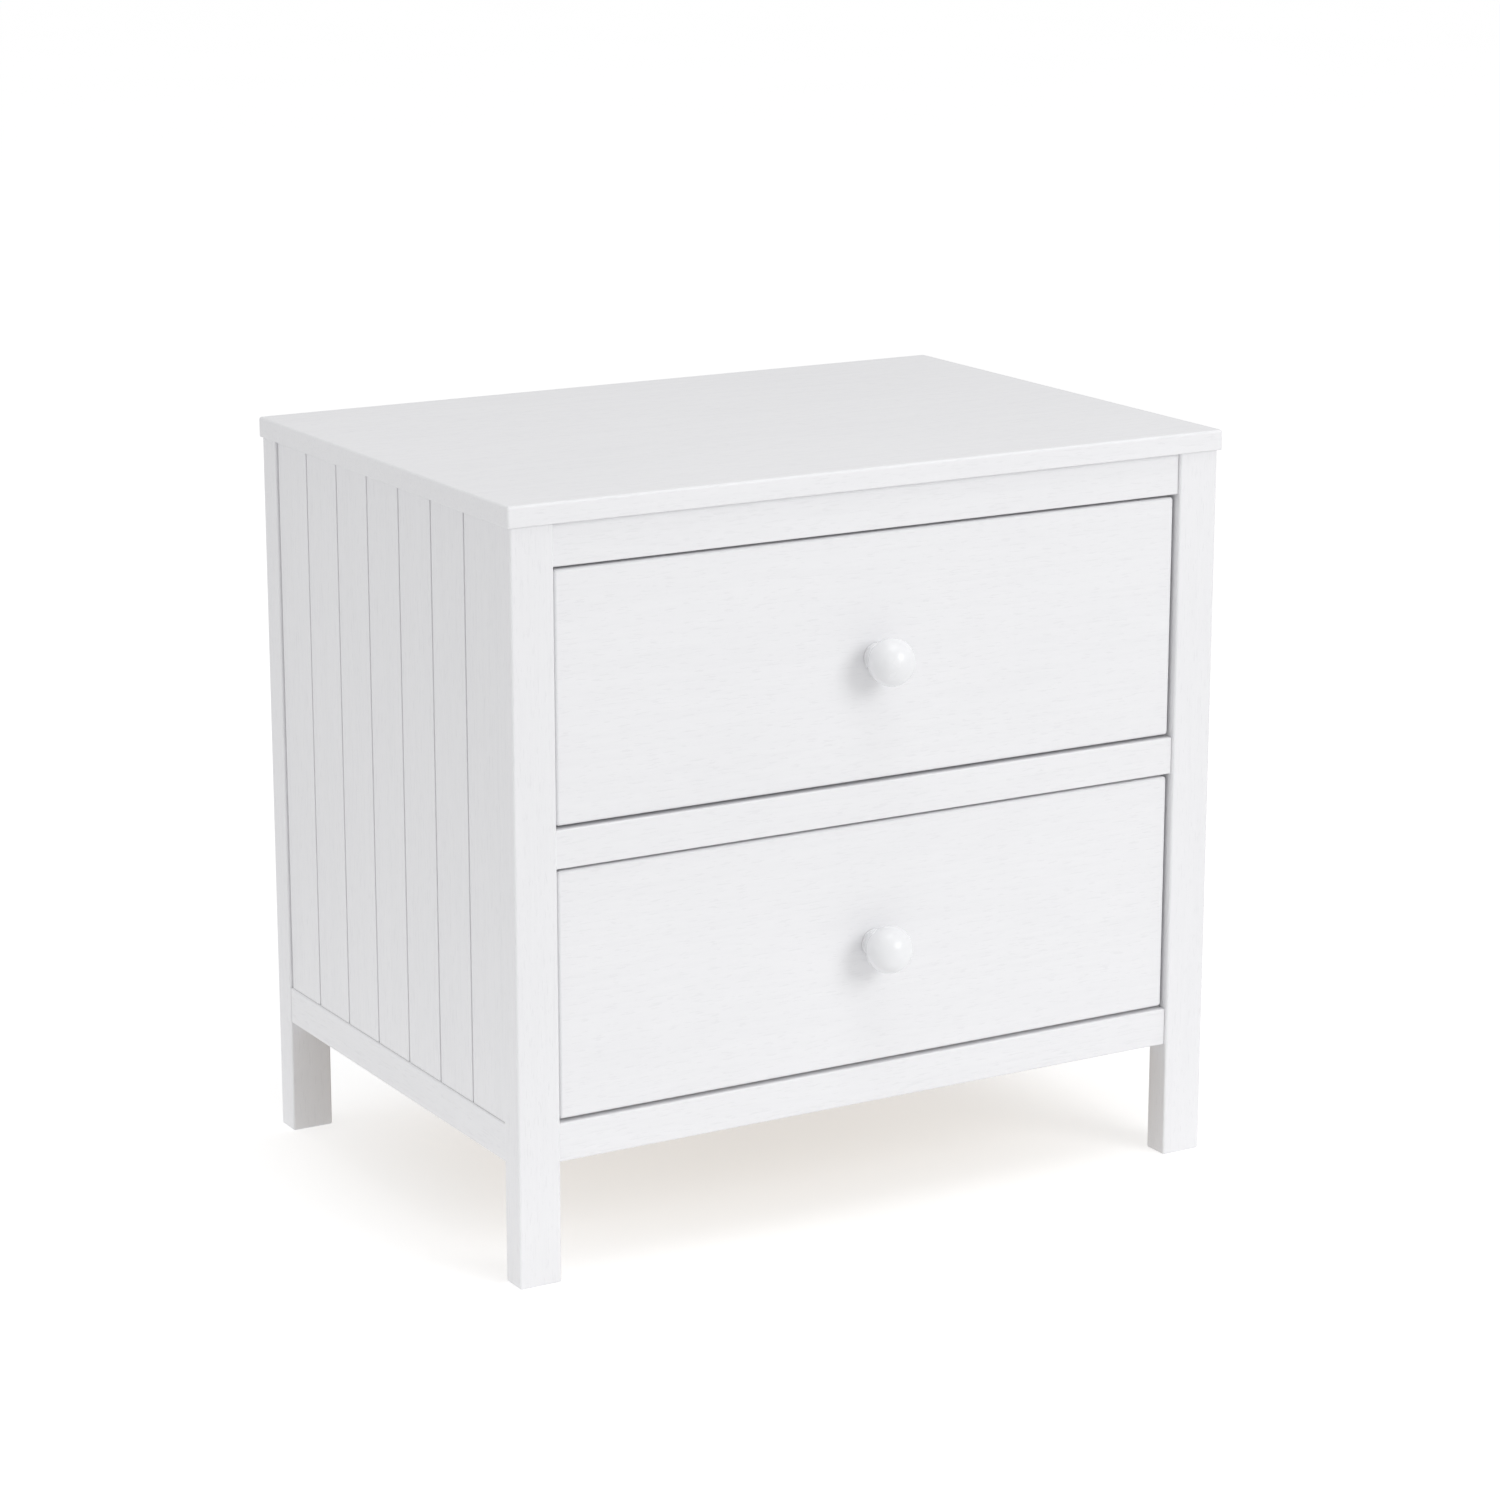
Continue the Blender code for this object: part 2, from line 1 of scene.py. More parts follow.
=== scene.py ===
# %% [markdown]
# # The looks of a white bedside chest with two drawers
# The real chest is a small frame of painted legs and rails, with planked sides, a flat top and
# two drawers that run on steel slides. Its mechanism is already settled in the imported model, so
# this lesson only gives each piece its finer shape and its finish. Every place below is measured
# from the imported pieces, which keeps the looks and the mechanism in step.

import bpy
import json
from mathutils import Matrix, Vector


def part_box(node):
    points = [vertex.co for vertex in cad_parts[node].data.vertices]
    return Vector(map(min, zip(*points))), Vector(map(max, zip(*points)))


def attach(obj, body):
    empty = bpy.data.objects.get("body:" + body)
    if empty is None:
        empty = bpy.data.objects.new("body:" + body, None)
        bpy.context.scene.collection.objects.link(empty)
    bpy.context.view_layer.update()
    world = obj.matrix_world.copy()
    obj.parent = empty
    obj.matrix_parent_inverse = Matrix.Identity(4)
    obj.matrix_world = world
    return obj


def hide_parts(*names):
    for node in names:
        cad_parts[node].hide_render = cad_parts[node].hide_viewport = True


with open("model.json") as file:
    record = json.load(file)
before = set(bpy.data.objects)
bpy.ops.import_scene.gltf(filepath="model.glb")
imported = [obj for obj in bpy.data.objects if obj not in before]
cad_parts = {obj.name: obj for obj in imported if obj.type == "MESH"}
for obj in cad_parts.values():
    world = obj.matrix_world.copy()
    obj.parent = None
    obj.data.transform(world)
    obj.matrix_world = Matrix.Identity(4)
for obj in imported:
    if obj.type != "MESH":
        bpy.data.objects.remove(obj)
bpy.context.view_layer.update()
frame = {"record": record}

# %% Tools for shapes
import json
import math

import bmesh
import bpy
from mathutils import Matrix, Vector

UP = Vector((0.0, 0.0, 1.0))
X, Y, Z = 0, 1, 2
SIDES = ("left", "right")
LEVELS = ("upper", "lower")
nodes_of = frame["record"]["behaviour"]["bodies"]
body_of = {node: body for body, nodes in nodes_of.items() for node in nodes}
print("pieces that move with the upper drawer:", nodes_of["drawer_upper"])

# %% [markdown]
# ## Making a finish from nodes
# A finish is a small network of nodes. Adding nodes one call at a time makes long code, so one
# helper adds a node and fills its inputs: a number or colour is set on the socket, and another
# node's output is linked. The pattern of a wooden board has to follow the board, so every finish
# below starts from the piece's own coordinates, stretched along the direction in which the wood
# grew.


# %% Node helpers
def add_node(tree, kind, inputs=None, **settings):
    """Add a node; an input is a value, or an output socket that it is linked from."""
    made = tree.nodes.new(kind)
    for key, value in settings.items():
        setattr(made, key, value)
    for key, value in (inputs or {}).items():
        if isinstance(value, bpy.types.NodeSocket):
            tree.links.new(value, made.inputs[key])
        else:
            made.inputs[key].default_value = value
    return made


def new_finish(name):
    """An empty finish: its node tree, its shader and the piece's own coordinates."""
    finish = bpy.data.materials.new(name)
    finish.use_nodes = True
    tree = finish.node_tree
    shader = tree.nodes["Principled BSDF"]
    place = add_node(tree, "ShaderNodeTexCoord").outputs["Object"]
    return finish, tree, shader, place


def noise(tree, place, per_metre, detail=3.0, roughness=0.5, distortion=0.0):
    """Cloudy variation; per_metre is how many clouds fit in a metre along X, Y and Z."""
    scaled = add_node(tree, "ShaderNodeMapping", {"Vector": place, "Scale": per_metre})
    made = add_node(tree, "ShaderNodeTexNoise", {
        "Vector": scaled.outputs["Vector"], "Scale": 1.0, "Detail": detail,
        "Roughness": roughness, "Distortion": distortion})
    return made.outputs["Fac"]


def spread(tree, value, low, high, from_low=0.0, from_high=1.0):
    """Stretch a value from one range to another."""
    made = add_node(tree, "ShaderNodeMapRange", {
        "Value": value, "From Min": from_low, "From Max": from_high, "To Min": low, "To Max": high})
    return made.outputs["Result"]


def combine(tree, first, second, operation="ADD"):
    """Join two values by a sum or by another operation."""
    made = add_node(tree, "ShaderNodeMath", operation=operation)
    for socket, value in zip(made.inputs, (first, second)):
        if isinstance(value, bpy.types.NodeSocket):
            tree.links.new(value, socket)
        else:
            socket.default_value = value
    return made.outputs["Value"]


def tint(tree, amount, colours):
    """Colours along a scale from 0 to 1, as (position, colour) pairs."""
    made = add_node(tree, "ShaderNodeValToRGB", {"Fac": amount})
    stops = made.color_ramp.elements
    while len(stops) < len(colours):
        stops.new(1.0)
    for stop, (position, colour) in zip(stops, colours):
        stop.position = position
        stop.color = (*colour, 1.0)
    return made.outputs["Color"]


def relief(tree, height, depth, below=None):
    """Turn a height from 0 to 1 into relief of a real depth in metres, over another relief."""
    inputs = {"Height": height, "Distance": depth, "Strength": 1.0}
    if below is not None:
        inputs["Normal"] = below
    return add_node(tree, "ShaderNodeBump", inputs).outputs["Normal"]


print("finish helpers ready")

# %% [markdown]
# ## White paint over brushed wood
# The boards are brushed before painting, so the soft wood between the growth rings is worn away a
# little and the grain stays under a thin satin paint, mostly as short fine dashes, which are the
# open pores. A scan of real wood could be wrapped on, but it would repeat and stop at the edges.
# Two layers of stretched clouds do better: faint streaks about two millimetres apart, and the
# pores, cut off sharply so that each reads as a dash. A slow wave adds the arches that a sawn
# board shows. They make relief, a change of gloss, and painted shade: the colour is darker in
# the hollows, standing in for the shade that falls there.

# %% The brushed paint, one finish per grain direction
PAINT_WHITE = (0.835, 0.835, 0.850)
# The darker paint is painted shade in the hollows of the grain, and also the far end of the slow
# random changes of tone.
PORE_SHADE_AND_TONE = (0.782, 0.782, 0.799)
STREAKS_ACROSS = 430.0          # streaks per metre, across the grain
STREAKS_ALONG = 34.0
PORES_ACROSS = 760.0
PORES_ALONG = 80.0
PORE_CUT = (0.32, 0.41)         # clouds below the first are open pores, above the second none
PORE_SHARE = 0.85               # the depth of a pore, beside that of the deepest streak
ARCHES_ACROSS = 46.0
ARCHES_ALONG = 2.2
RINGS_IN_ARCHES = 9.0
LATE_WOOD = (0.40, 0.85)        # how strong the streaks are in early and in late wood
PAINTED_GRAIN_SHADE = 0.75              # how dark the painted shade makes the deepest hollow of the grain
CLOUD_SHADE = 0.22              # how dark the paint gets in the slow random changes from one part of a board to the next
GRAIN_DEPTH = 0.000065
FILM_PEEL = 320.0               # dimples per metre in the paint film
FILM_PEEL_DEPTH = 0.000012


def along_grain(axis, across, along):
    """Clouds per metre in each direction for wood that grew along an axis."""
    return tuple(along if i == axis else across for i in range(3))


def brushed_paint(name, axis):
    """Satin paint over wood that grew along an axis."""
    finish, tree, shader, place = new_finish(name)
    streaks = noise(tree, place, along_grain(axis, STREAKS_ACROSS, STREAKS_ALONG),
                    detail=4.0, roughness=0.55, distortion=0.35)
    pores = noise(tree, place, along_grain(axis, PORES_ACROSS, PORES_ALONG),
                  detail=2.0, distortion=0.2)
    arches = noise(tree, place, along_grain(axis, ARCHES_ACROSS, ARCHES_ALONG),
                   detail=2.0, distortion=1.2)
    open_pore = spread(tree, pores, 1.0, 0.0, *PORE_CUT)
    rings = combine(tree, arches, RINGS_IN_ARCHES, "MULTIPLY")
    late_wood = spread(tree, combine(tree, rings, 1.0, "PINGPONG"), *LATE_WOOD)
    hollow = combine(tree, combine(tree, streaks, late_wood, "MULTIPLY"),
                     combine(tree, open_pore, PORE_SHARE, "MULTIPLY"))
    cloud = noise(tree, place, (5.0, 5.0, 5.0), detail=2.0)
    # Painted shade darkens the hollows of the grain; the slow clouds add random changes of tone.
    shade = combine(tree, spread(tree, hollow, 0.0, PAINTED_GRAIN_SHADE, from_low=0.1),
                    spread(tree, cloud, 0.0, CLOUD_SHADE, from_low=0.3, from_high=0.7))
    tree.links.new(tint(tree, shade, ((0.0, PAINT_WHITE), (1.0, PORE_SHADE_AND_TONE))),
                   shader.inputs["Base Color"])
    tree.links.new(spread(tree, hollow, 0.40, 0.58), shader.inputs["Roughness"])
    peel = noise(tree, place, (FILM_PEEL, FILM_PEEL, FILM_PEEL), detail=2.0)
    film = relief(tree, peel, FILM_PEEL_DEPTH)
    height = spread(tree, hollow, 1.0, 0.0)
    tree.links.new(relief(tree, height, GRAIN_DEPTH, below=film), shader.inputs["Normal"])
    shader.inputs["Specular IOR Level"].default_value = 0.5
    return finish


paint_along = {axis: brushed_paint(f"white_paint_grain_{'xyz'[axis]}", axis)
               for axis in (X, Y, Z)}
print("brushed paints:", [finish.name for finish in paint_along.values()])

# %% [markdown]
# ## Smooth paint for the knobs
# A turned knob is sanded, primed and sprayed, so the grain is gone and only a faint orange peel
# is left. Its gloss is what makes it read as a ball, so the roughness is low and hardly changes.
# A thin clear coat would look wet; a single layer with a fine relief looks sprayed.

# %% The knob paint
KNOB_SHADES = ((0.3, (0.825, 0.83, 0.845)), (0.7, (0.845, 0.85, 0.865)))
SPRAY_DEPTH = 0.00002


def knob_paint():
    """Smooth sprayed paint with a faint orange peel."""
    finish, tree, shader, place = new_finish("white_gloss_paint")
    cloud = noise(tree, place, (60.0, 60.0, 60.0), detail=2.0)
    peel = noise(tree, place, (520.0, 520.0, 520.0), detail=2.0, roughness=0.45)
    tree.links.new(tint(tree, cloud, KNOB_SHADES), shader.inputs["Base Color"])
    tree.links.new(spread(tree, cloud, 0.20, 0.28, from_low=0.3, from_high=0.7),
                   shader.inputs["Roughness"])
    tree.links.new(relief(tree, peel, SPRAY_DEPTH), shader.inputs["Normal"])
    return finish


KNOB_FINISH = knob_paint()
print("knob paint:", KNOB_FINISH.name)

# %% [markdown]
# ## The back board
# The back is thin fibre board with a matt painted face. Its surface has no grain, only the print
# of felted fibres and, here and there, a fibre under the paint. Two sizes of round clouds give
# that, one for the press marks and one for the fibres.

# %% The back board finish
BOARD_SHADES = ((0.35, (0.74, 0.745, 0.76)), (0.6, (0.79, 0.795, 0.81)))
PRESS_SHARE = 0.35              # the rest of the marks are fibres
MARK_DEPTH = 0.00009


def fibre_board():
    """Matt paint over pressed fibre board."""
    finish, tree, shader, place = new_finish("back_board")
    press = noise(tree, place, (70.0, 70.0, 70.0))
    fibres = noise(tree, place, (900.0, 900.0, 900.0), roughness=0.7)
    marks = combine(tree, combine(tree, press, PRESS_SHARE, "MULTIPLY"),
                    combine(tree, fibres, 1 - PRESS_SHARE, "MULTIPLY"))
    tree.links.new(tint(tree, marks, BOARD_SHADES), shader.inputs["Base Color"])
    tree.links.new(spread(tree, fibres, 0.58, 0.74), shader.inputs["Roughness"])
    tree.links.new(relief(tree, marks, MARK_DEPTH), shader.inputs["Normal"])
    return finish


BACK_FINISH = fibre_board()
print("back board finish:", BACK_FINISH.name)

# %% [markdown]
# ## Pine and plywood for the drawer boxes
# Inside, the drawers are bare pine with a clear lacquer. Growth rings cut lengthwise give arches
# of darker late wood with a crisp edge on one side and a soft one on the other. Rings that are
# stretched along the grain and bent by slow clouds draw exactly that; fine fibres are laid over
# them. The plywood bottom has a peeled face, whose figure is wider and paler.

# %% Clear wood
PINE_EARLY = (0.74, 0.57, 0.38)
PINE_LATE = (0.62, 0.43, 0.25)
PINE_RING = 0.0045              # the width of a growth ring on the board
PLY_EARLY = (0.74, 0.60, 0.42)
PLY_LATE = (0.65, 0.495, 0.32)
PLY_RING = 0.016
FIGURE_WIDTH = 0.16             # the width of wood that the whole range of a cloud stands for
FIBRE_DEPTH = 0.00006


def clear_wood(name, axis, ring_width, early, late, fibre):
    """Lacquered wood; fibre is how much its fine fibres change the shade."""
    finish, tree, shader, place = new_finish(name)
    slow = noise(tree, place, along_grain(axis, 14.0, 1.3), detail=2.0, distortion=0.6)
    rings = combine(tree, slow, FIGURE_WIDTH / ring_width, "MULTIPLY")
    ring = add_node(tree, "ShaderNodeMath", {0: rings}, operation="FRACT").outputs["Value"]
    figure = tint(tree, ring, ((0.0, early), (0.72, late), (0.93, late), (1.0, early)))
    fibres = noise(tree, place, along_grain(axis, 900.0, 22.0), roughness=0.6)
    grey = spread(tree, fibres, 1.0 - fibre, 1.0 + fibre, from_low=0.3, from_high=0.7)
    shaded = add_node(tree, "ShaderNodeVectorMath", {0: figure, "Scale": grey}, operation="SCALE")
    tree.links.new(shaded.outputs["Vector"], shader.inputs["Base Color"])
    tree.links.new(spread(tree, fibres, 0.42, 0.58), shader.inputs["Roughness"])
    height = combine(tree, fibres, combine(tree, ring, 0.25, "MULTIPLY"))
    tree.links.new(relief(tree, height, FIBRE_DEPTH), shader.inputs["Normal"])
    return finish


pine_along = {axis: clear_wood(f"drawer_pine_grain_{'xyz'[axis]}", axis,
                               PINE_RING, PINE_EARLY, PINE_LATE, fibre=0.10)
              for axis in (X, Y)}
PLY_FINISH = clear_wood("drawer_plywood", X, PLY_RING, PLY_EARLY, PLY_LATE, fibre=0.07)
print("clear woods:", [finish.name for finish in pine_along.values()], PLY_FINISH.name)

# %% [markdown]
# ## Zinc plated steel
# Slides and screws are steel with a thin bright zinc coat. Rolling leaves fine lines along the
# strip, and the zinc has soft cloudy patches that are slightly blue or yellow. The lines go into
# the gloss and the relief, the patches into the colour.

# %% The zinc finish
ZINC_SHADES = ((0.32, (0.60, 0.62, 0.66)), (0.52, (0.67, 0.68, 0.69)), (0.70, (0.70, 0.69, 0.65)))
ROLLING_DEPTH = 0.000015


def zinc_steel():
    """Rolled steel with a bright zinc coat."""
    finish, tree, shader, place = new_finish("zinc_steel")
    lines = noise(tree, place, along_grain(Y, 2600.0, 30.0), roughness=0.6)
    patches = noise(tree, place, (45.0, 30.0, 45.0), roughness=0.55, distortion=0.4)
    tree.links.new(tint(tree, patches, ZINC_SHADES), shader.inputs["Base Color"])
    tree.links.new(spread(tree, combine(tree, lines, patches), 0.24, 0.46, 0.7, 1.3),
                   shader.inputs["Roughness"])
    tree.links.new(relief(tree, lines, ROLLING_DEPTH), shader.inputs["Normal"])
    shader.inputs["Metallic"].default_value = 1.0
    return finish


ZINC_FINISH = zinc_steel()
print("zinc finish:", ZINC_FINISH.name)

# %% [markdown]
# ## From a mesh to a piece of the chest
# Every piece ends the same way: its mesh gets a finish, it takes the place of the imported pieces
# that it stands for, and it rides on the body that they move with. A helper does this, so each
# cell below can be about shape.

# %% Hand a mesh over to the chest
SMOOTH_BELOW = math.radians(40)


def add_piece(name, mesh, finish, nodes=(), body=None):
    """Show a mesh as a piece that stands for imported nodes, or as an extra one on a body."""
    mesh.shade_smooth()
    mesh.set_sharp_from_angle(angle=SMOOTH_BELOW)
    mesh.materials.clear()
    mesh.materials.append(finish)
    piece = bpy.data.objects.new(name, mesh)
    bpy.context.scene.collection.objects.link(piece)
    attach(piece, body or body_of[nodes[0]])
    if nodes:
        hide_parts(*nodes)
    return piece


def to_mesh(bm, name):
    """Finish a bmesh with its faces pointing out."""
    bmesh.ops.recalc_face_normals(bm, faces=bm.faces)
    mesh = bpy.data.meshes.new(name)
    bm.to_mesh(mesh)
    bm.free()
    return mesh


print("pieces are shaded smooth below", round(math.degrees(SMOOTH_BELOW)), "degrees")

# %% [markdown]
# ## Boards with softened edges
# Sanding and paint round every edge that a hand can reach. A box with a Bevel modifier shows
# that, and the modifier's hardened normals keep the flat faces flat while the rounding catches
# the light. Edges that butt against another board stay square, so a bevel weight marks which ones
# are sanded.

# %% A board
EDGE_STEPS = 5
NO_TRIM = Vector((0.0, 0.0, 0.0))


def everywhere(middle):
    """Sand every edge."""
    return 1.0


def board_mesh(name, low, high, sanding):
    """A box between two corners; sanding gives each edge a weight from its middle point."""
    bm = bmesh.new()
    bmesh.ops.create_cube(bm, size=1.0)
    stretch = Matrix.Diagonal((*(high - low), 1.0))
    bmesh.ops.transform(bm, matrix=Matrix.Translation((low + high) / 2) @ stretch, verts=bm.verts)
    weight = bm.edges.layers.float.new("bevel_weight_edge")
    for edge in bm.edges:
        edge[weight] = float(sanding((edge.verts[0].co + edge.verts[1].co) / 2))
    return to_mesh(bm, name)


def soften(piece, width):
    """Round the weighted edges of a piece."""
    bevel = piece.modifiers.new("sanded_edges", "BEVEL")
    bevel.limit_method = "WEIGHT"
    bevel.width = width
    bevel.segments = EDGE_STEPS
    bevel.harden_normals = True


def add_board(node, axis, width, sanding=everywhere, finish=None, trim=NO_TRIM):
    """Replace a packed board by one with sanded edges and the grain along an axis."""
    low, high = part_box(node)
    mesh = board_mesh(node + "_board", low + trim, high - trim, sanding)
    soften(add_piece(node + "_board", mesh, finish or paint_along[axis], [node]), width)


print("each rounded edge has", EDGE_STEPS, "steps")

# %% [markdown]
# ## The top
# The top is one wide board, rounded a little more along its upper edge, where hands and dusters
# wear it, than underneath. One box with the same width all round would look machine made, so the
# upper edges get the full width and the lower ones about half of it.

# %% The top board
TOP_EDGE = 0.0021
LOWER_EDGE_SHARE = 0.5
low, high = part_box("top_panel")
add_board("top_panel", X, TOP_EDGE,
          lambda middle: LOWER_EDGE_SHARE if middle.z < low.z + TOP_EDGE else 1.0)
print("top:", [round(1000 * size, 1) for size in high - low], "mm")

# %% [markdown]
# ## Legs and rails
# Each leg is a flat rectangular post, sanded along its length and round its foot, and cut square
# under the top. The rails between the front legs are set back a little and only their front edges
# are sanded, because their ends butt against the legs. The grain always runs along the piece.

# %% Legs
LEG_EDGE = 0.0019
for place in ("front", "rear"):
    for side in SIDES:
        leg = f"leg_{place}_{side}"
        leg_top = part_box(leg)[1].z
        add_board(leg, Z, LEG_EDGE, lambda middle: middle.z < leg_top - LEG_EDGE)
low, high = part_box("leg_front_left")
print("leg section:", [round(1000 * size, 1) for size in (high - low)[:2]], "mm")

# %% Rails between the legs
RAIL_EDGE = 0.0014
across_rails = [f"front_rail_{place}" for place in ("top", "middle", "bottom")]
across_rails += [f"rear_rail_{place}" for place in ("top", "bottom")]
for rail in across_rails:
    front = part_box(rail)[0].y
    add_board(rail, X, RAIL_EDGE,
              lambda middle: middle.y < front + RAIL_EDGE and abs(middle.x) < RAIL_EDGE)
for side in SIDES:
    low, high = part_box(f"side_rail_{side}")
    outer = low.x if side == "left" else high.x
    half_way = (low.z + high.z) / 2
    add_board(f"side_rail_{side}", Y, RAIL_EDGE,
              lambda middle: abs(middle.x - outer) < RAIL_EDGE < abs(middle.z - half_way))
print(len(across_rails), "rails across and", len(SIDES), "along the sides")

# %% [markdown]
# ## Outlines with rounded corners
# Planked sides, drawer sides and slides are all straight pieces with one cross-section. Such a
# piece is drawn out from an outline, like a moulding from a plane. The outline is written as a
# few corners with a radius each, and a helper fills in the arcs, so the code shows the sizes a
# maker would set.

# %% Draw a piece out from its outline
ARC_STEPS = 4


def rounded(corners):
    """Replace each (u, v, radius) corner of a closed outline by an arc."""
    points = []
    count = len(corners)
    for i, (u, v, radius) in enumerate(corners):
        here = Vector((u, v))
        before = (Vector(corners[i - 1][:2]) - here)
        after = (Vector(corners[(i + 1) % count][:2]) - here)
        if radius <= 0.0:
            points.append(here)
            continue
        opening = before.angle(after)
        reach = min(radius / math.tan(opening / 2), before.length / 2, after.length / 2)
        start = here + before.normalized() * reach
        end = here + after.normalized() * reach
        for step in range(ARC_STEPS + 1):
            t = step / ARC_STEPS
            points.append((1 - t) ** 2 * start + 2 * t * (1 - t) * here + t ** 2 * end)
    return points


def drawn_out(name, corners, start, end, to_world):
    """A closed mesh with one cross-section; to_world(u, v, w) places a point."""
    bm = bmesh.new()
    outline = rounded(corners)
    first = [bm.verts.new(to_world(u, v, start)) for u, v in outline]
    last = [bm.verts.new(to_world(u, v, end)) for u, v in outline]
    for i in range(len(outline)):
        j = (i + 1) % len(outline)
        bm.faces.new((first[i], first[j], last[j], last[i]))
    bm.faces.new(first)
    bm.faces.new(last)
    return to_mesh(bm, name)


# %% [markdown]
# ## Planked sides
# Each side is filled with seven upright planks with a narrow groove between two of them. Separate
# planks would need a joint behind every groove. One outline with the grooves cut into it looks
# the same, and its small radii give the painted shoulders a soft line instead of a knife edge. A
# groove that is deeper than it is wide keeps the light out, so it draws a crisp dark line; a
# shallow V would only show as a pale crease.

# %% Side panels
PLANKS = 7
GROOVE_WIDTH = 0.0020
GROOVE_DEPTH = 0.0036
REAR_GROOVE_WIDTH = 0.0016      # the last plank also stands off from the rear leg
SHOULDER = 0.0005
PANEL_CORNER = 0.0004


def planked_corners(inner, outer, y_start, y_end):
    """The outline of a side panel, seen from above, for the side that faces larger x."""
    corners = [(inner, y_end, 0.0), (inner, y_start, 0.0), (outer, y_start, PANEL_CORNER)]
    deep, half = outer - GROOVE_DEPTH, GROOVE_WIDTH / 2
    for i in range(1, PLANKS):
        y = y_start + i * ((y_end - y_start) / PLANKS)
        corners += [(outer, y - half, SHOULDER), (deep, y - half, 0.0),
                    (deep, y + half, 0.0), (outer, y + half, SHOULDER)]
    rear = y_end - REAR_GROOVE_WIDTH
    return corners + [(outer, rear, SHOULDER), (deep, rear, 0.0), (deep, y_end, 0.0)]


for side, sign in (("left", -1), ("right", 1)):
    low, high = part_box(f"side_panel_{side}")
    inner, outer = sorted((abs(low.x), abs(high.x)))
    mesh = drawn_out(f"side_planks_{side}", planked_corners(inner, outer, low.y, high.y),
                     low.z, high.z, lambda x, y, z: (sign * x, y, z))
    add_piece(f"side_planks_{side}", mesh, paint_along[Z], [f"side_panel_{side}"])
print("each plank is", round(1000 * (high.y - low.y) / PLANKS, 1), "mm wide")

# %% [markdown]
# ## Battens inside the case
# Two battens carry the top and four more carry the slides. They are seen only when a drawer is
# out, so they are plain boards with the least sanding, painted like the case.

# %% Battens
BATTEN_EDGE = 0.0010
for side in SIDES:
    add_board(f"top_batten_{side}", Y, BATTEN_EDGE)
    for level in LEVELS:
        add_board(f"slide_batten_{level}_{side}", Y, BATTEN_EDGE)
print("6 battens")

# %% [markdown]
# ## Drawer fronts
# The two fronts are inset between the legs with a thin gap all round. Their front edges are
# rounded more than any other on the chest, which turns the gap into a soft dark line. The back
# edges stay square, because the drawer box is fixed there.

# %% Drawer fronts
FRONT_EDGE = 0.0026
FRONT_TRIM = Vector((0.0004, 0.0, 0.0003))      # what sanding takes off each end and each long edge
for level in LEVELS:
    node = f"drawer_{level}_front"
    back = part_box(node)[1].y
    add_board(node, X, FRONT_EDGE, lambda middle: middle.y < back - FRONT_EDGE, trim=FRONT_TRIM)
low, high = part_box("drawer_upper_front")
print("drawer front:", [round(1000 * size, 1) for size in high - low], "mm before sanding")

# %% [markdown]
# ## Turned pieces
# A knob is turned on a lathe, and so are the heads of screws and pins. Spinning a profile about
# its axis is the same action in Blender. A profile is a list of (radius, distance) points along
# the axis, and the helper places it with its foot at a point and its axis in a direction.


# %% Turn a profile
def turned(name, profile, foot, direction, steps):
    """Spin a profile about an axis that starts at foot."""
    bm = bmesh.new()
    points = [bm.verts.new((radius, 0.0, distance)) for radius, distance in profile]
    edges = [bm.edges.new(pair) for pair in zip(points[:-1], points[1:])]
    bmesh.ops.spin(bm, geom=points + edges, cent=(0, 0, 0), axis=(0, 0, 1),
                   angle=math.tau, steps=steps)
    bmesh.ops.remove_doubles(bm, verts=bm.verts, dist=1e-6)
    turn = UP.rotation_difference(Vector(direction)).to_matrix().to_4x4()
    bmesh.ops.transform(bm, matrix=Matrix.Translation(foot) @ turn, verts=bm.verts)
    return to_mesh(bm, name)


# %% [markdown]
# ## Knobs
# Each knob is a slightly flattened ball on a short neck that flares into a small foot against the
# drawer. The profile runs from the tip over the ball, down the neck in a hollow curve and round
# the foot. Sixty-four steps round the axis keep the outline of the ball smooth even close up.

# %% The two knobs
KNOB_NECK = 0.0098
KNOB_FOOT_RADIUS = 0.0112
KNOB_FOOT_THICKNESS = 0.0016
KNOB_COVE = 0.0012
BALL_HALF_LENGTH = 0.0172
BALL_POINTS = 28
COVE_POINTS = 6
FOOT_ROUND = 0.0008
FOOT_POINTS = 5
KNOB_STEPS = 64
SEAT_GAP = 0.0003


def knob_profile(radius, reach):
    """The profile of a knob that stands out by reach, from its tip to its foot."""
    centre = reach - BALL_HALF_LENGTH
    neck_angle = math.acos(KNOB_NECK / radius)
    profile = [(0.0, reach)]
    for i in range(1, BALL_POINTS + 1):
        angle = math.pi / 2 - (math.pi / 2 + neck_angle) * i / BALL_POINTS
        profile.append((radius * math.cos(angle), centre + BALL_HALF_LENGTH * math.sin(angle)))
    cove_centre = KNOB_FOOT_THICKNESS + KNOB_COVE
    for i in range(COVE_POINTS + 1):
        angle = math.pi / 2 * i / COVE_POINTS
        profile.append((KNOB_NECK + KNOB_COVE * (1 - math.cos(angle)),
                        cove_centre - KNOB_COVE * math.sin(angle)))
    for i in range(1, FOOT_POINTS + 1):
        angle = math.pi / 2 - math.pi / 2 * i / FOOT_POINTS
        profile.append((KNOB_FOOT_RADIUS - FOOT_ROUND + FOOT_ROUND * math.cos(angle),
                        KNOB_FOOT_THICKNESS - FOOT_ROUND + FOOT_ROUND * math.sin(angle)))
    return profile + [(KNOB_FOOT_RADIUS, SEAT_GAP), (0.0, SEAT_GAP)]


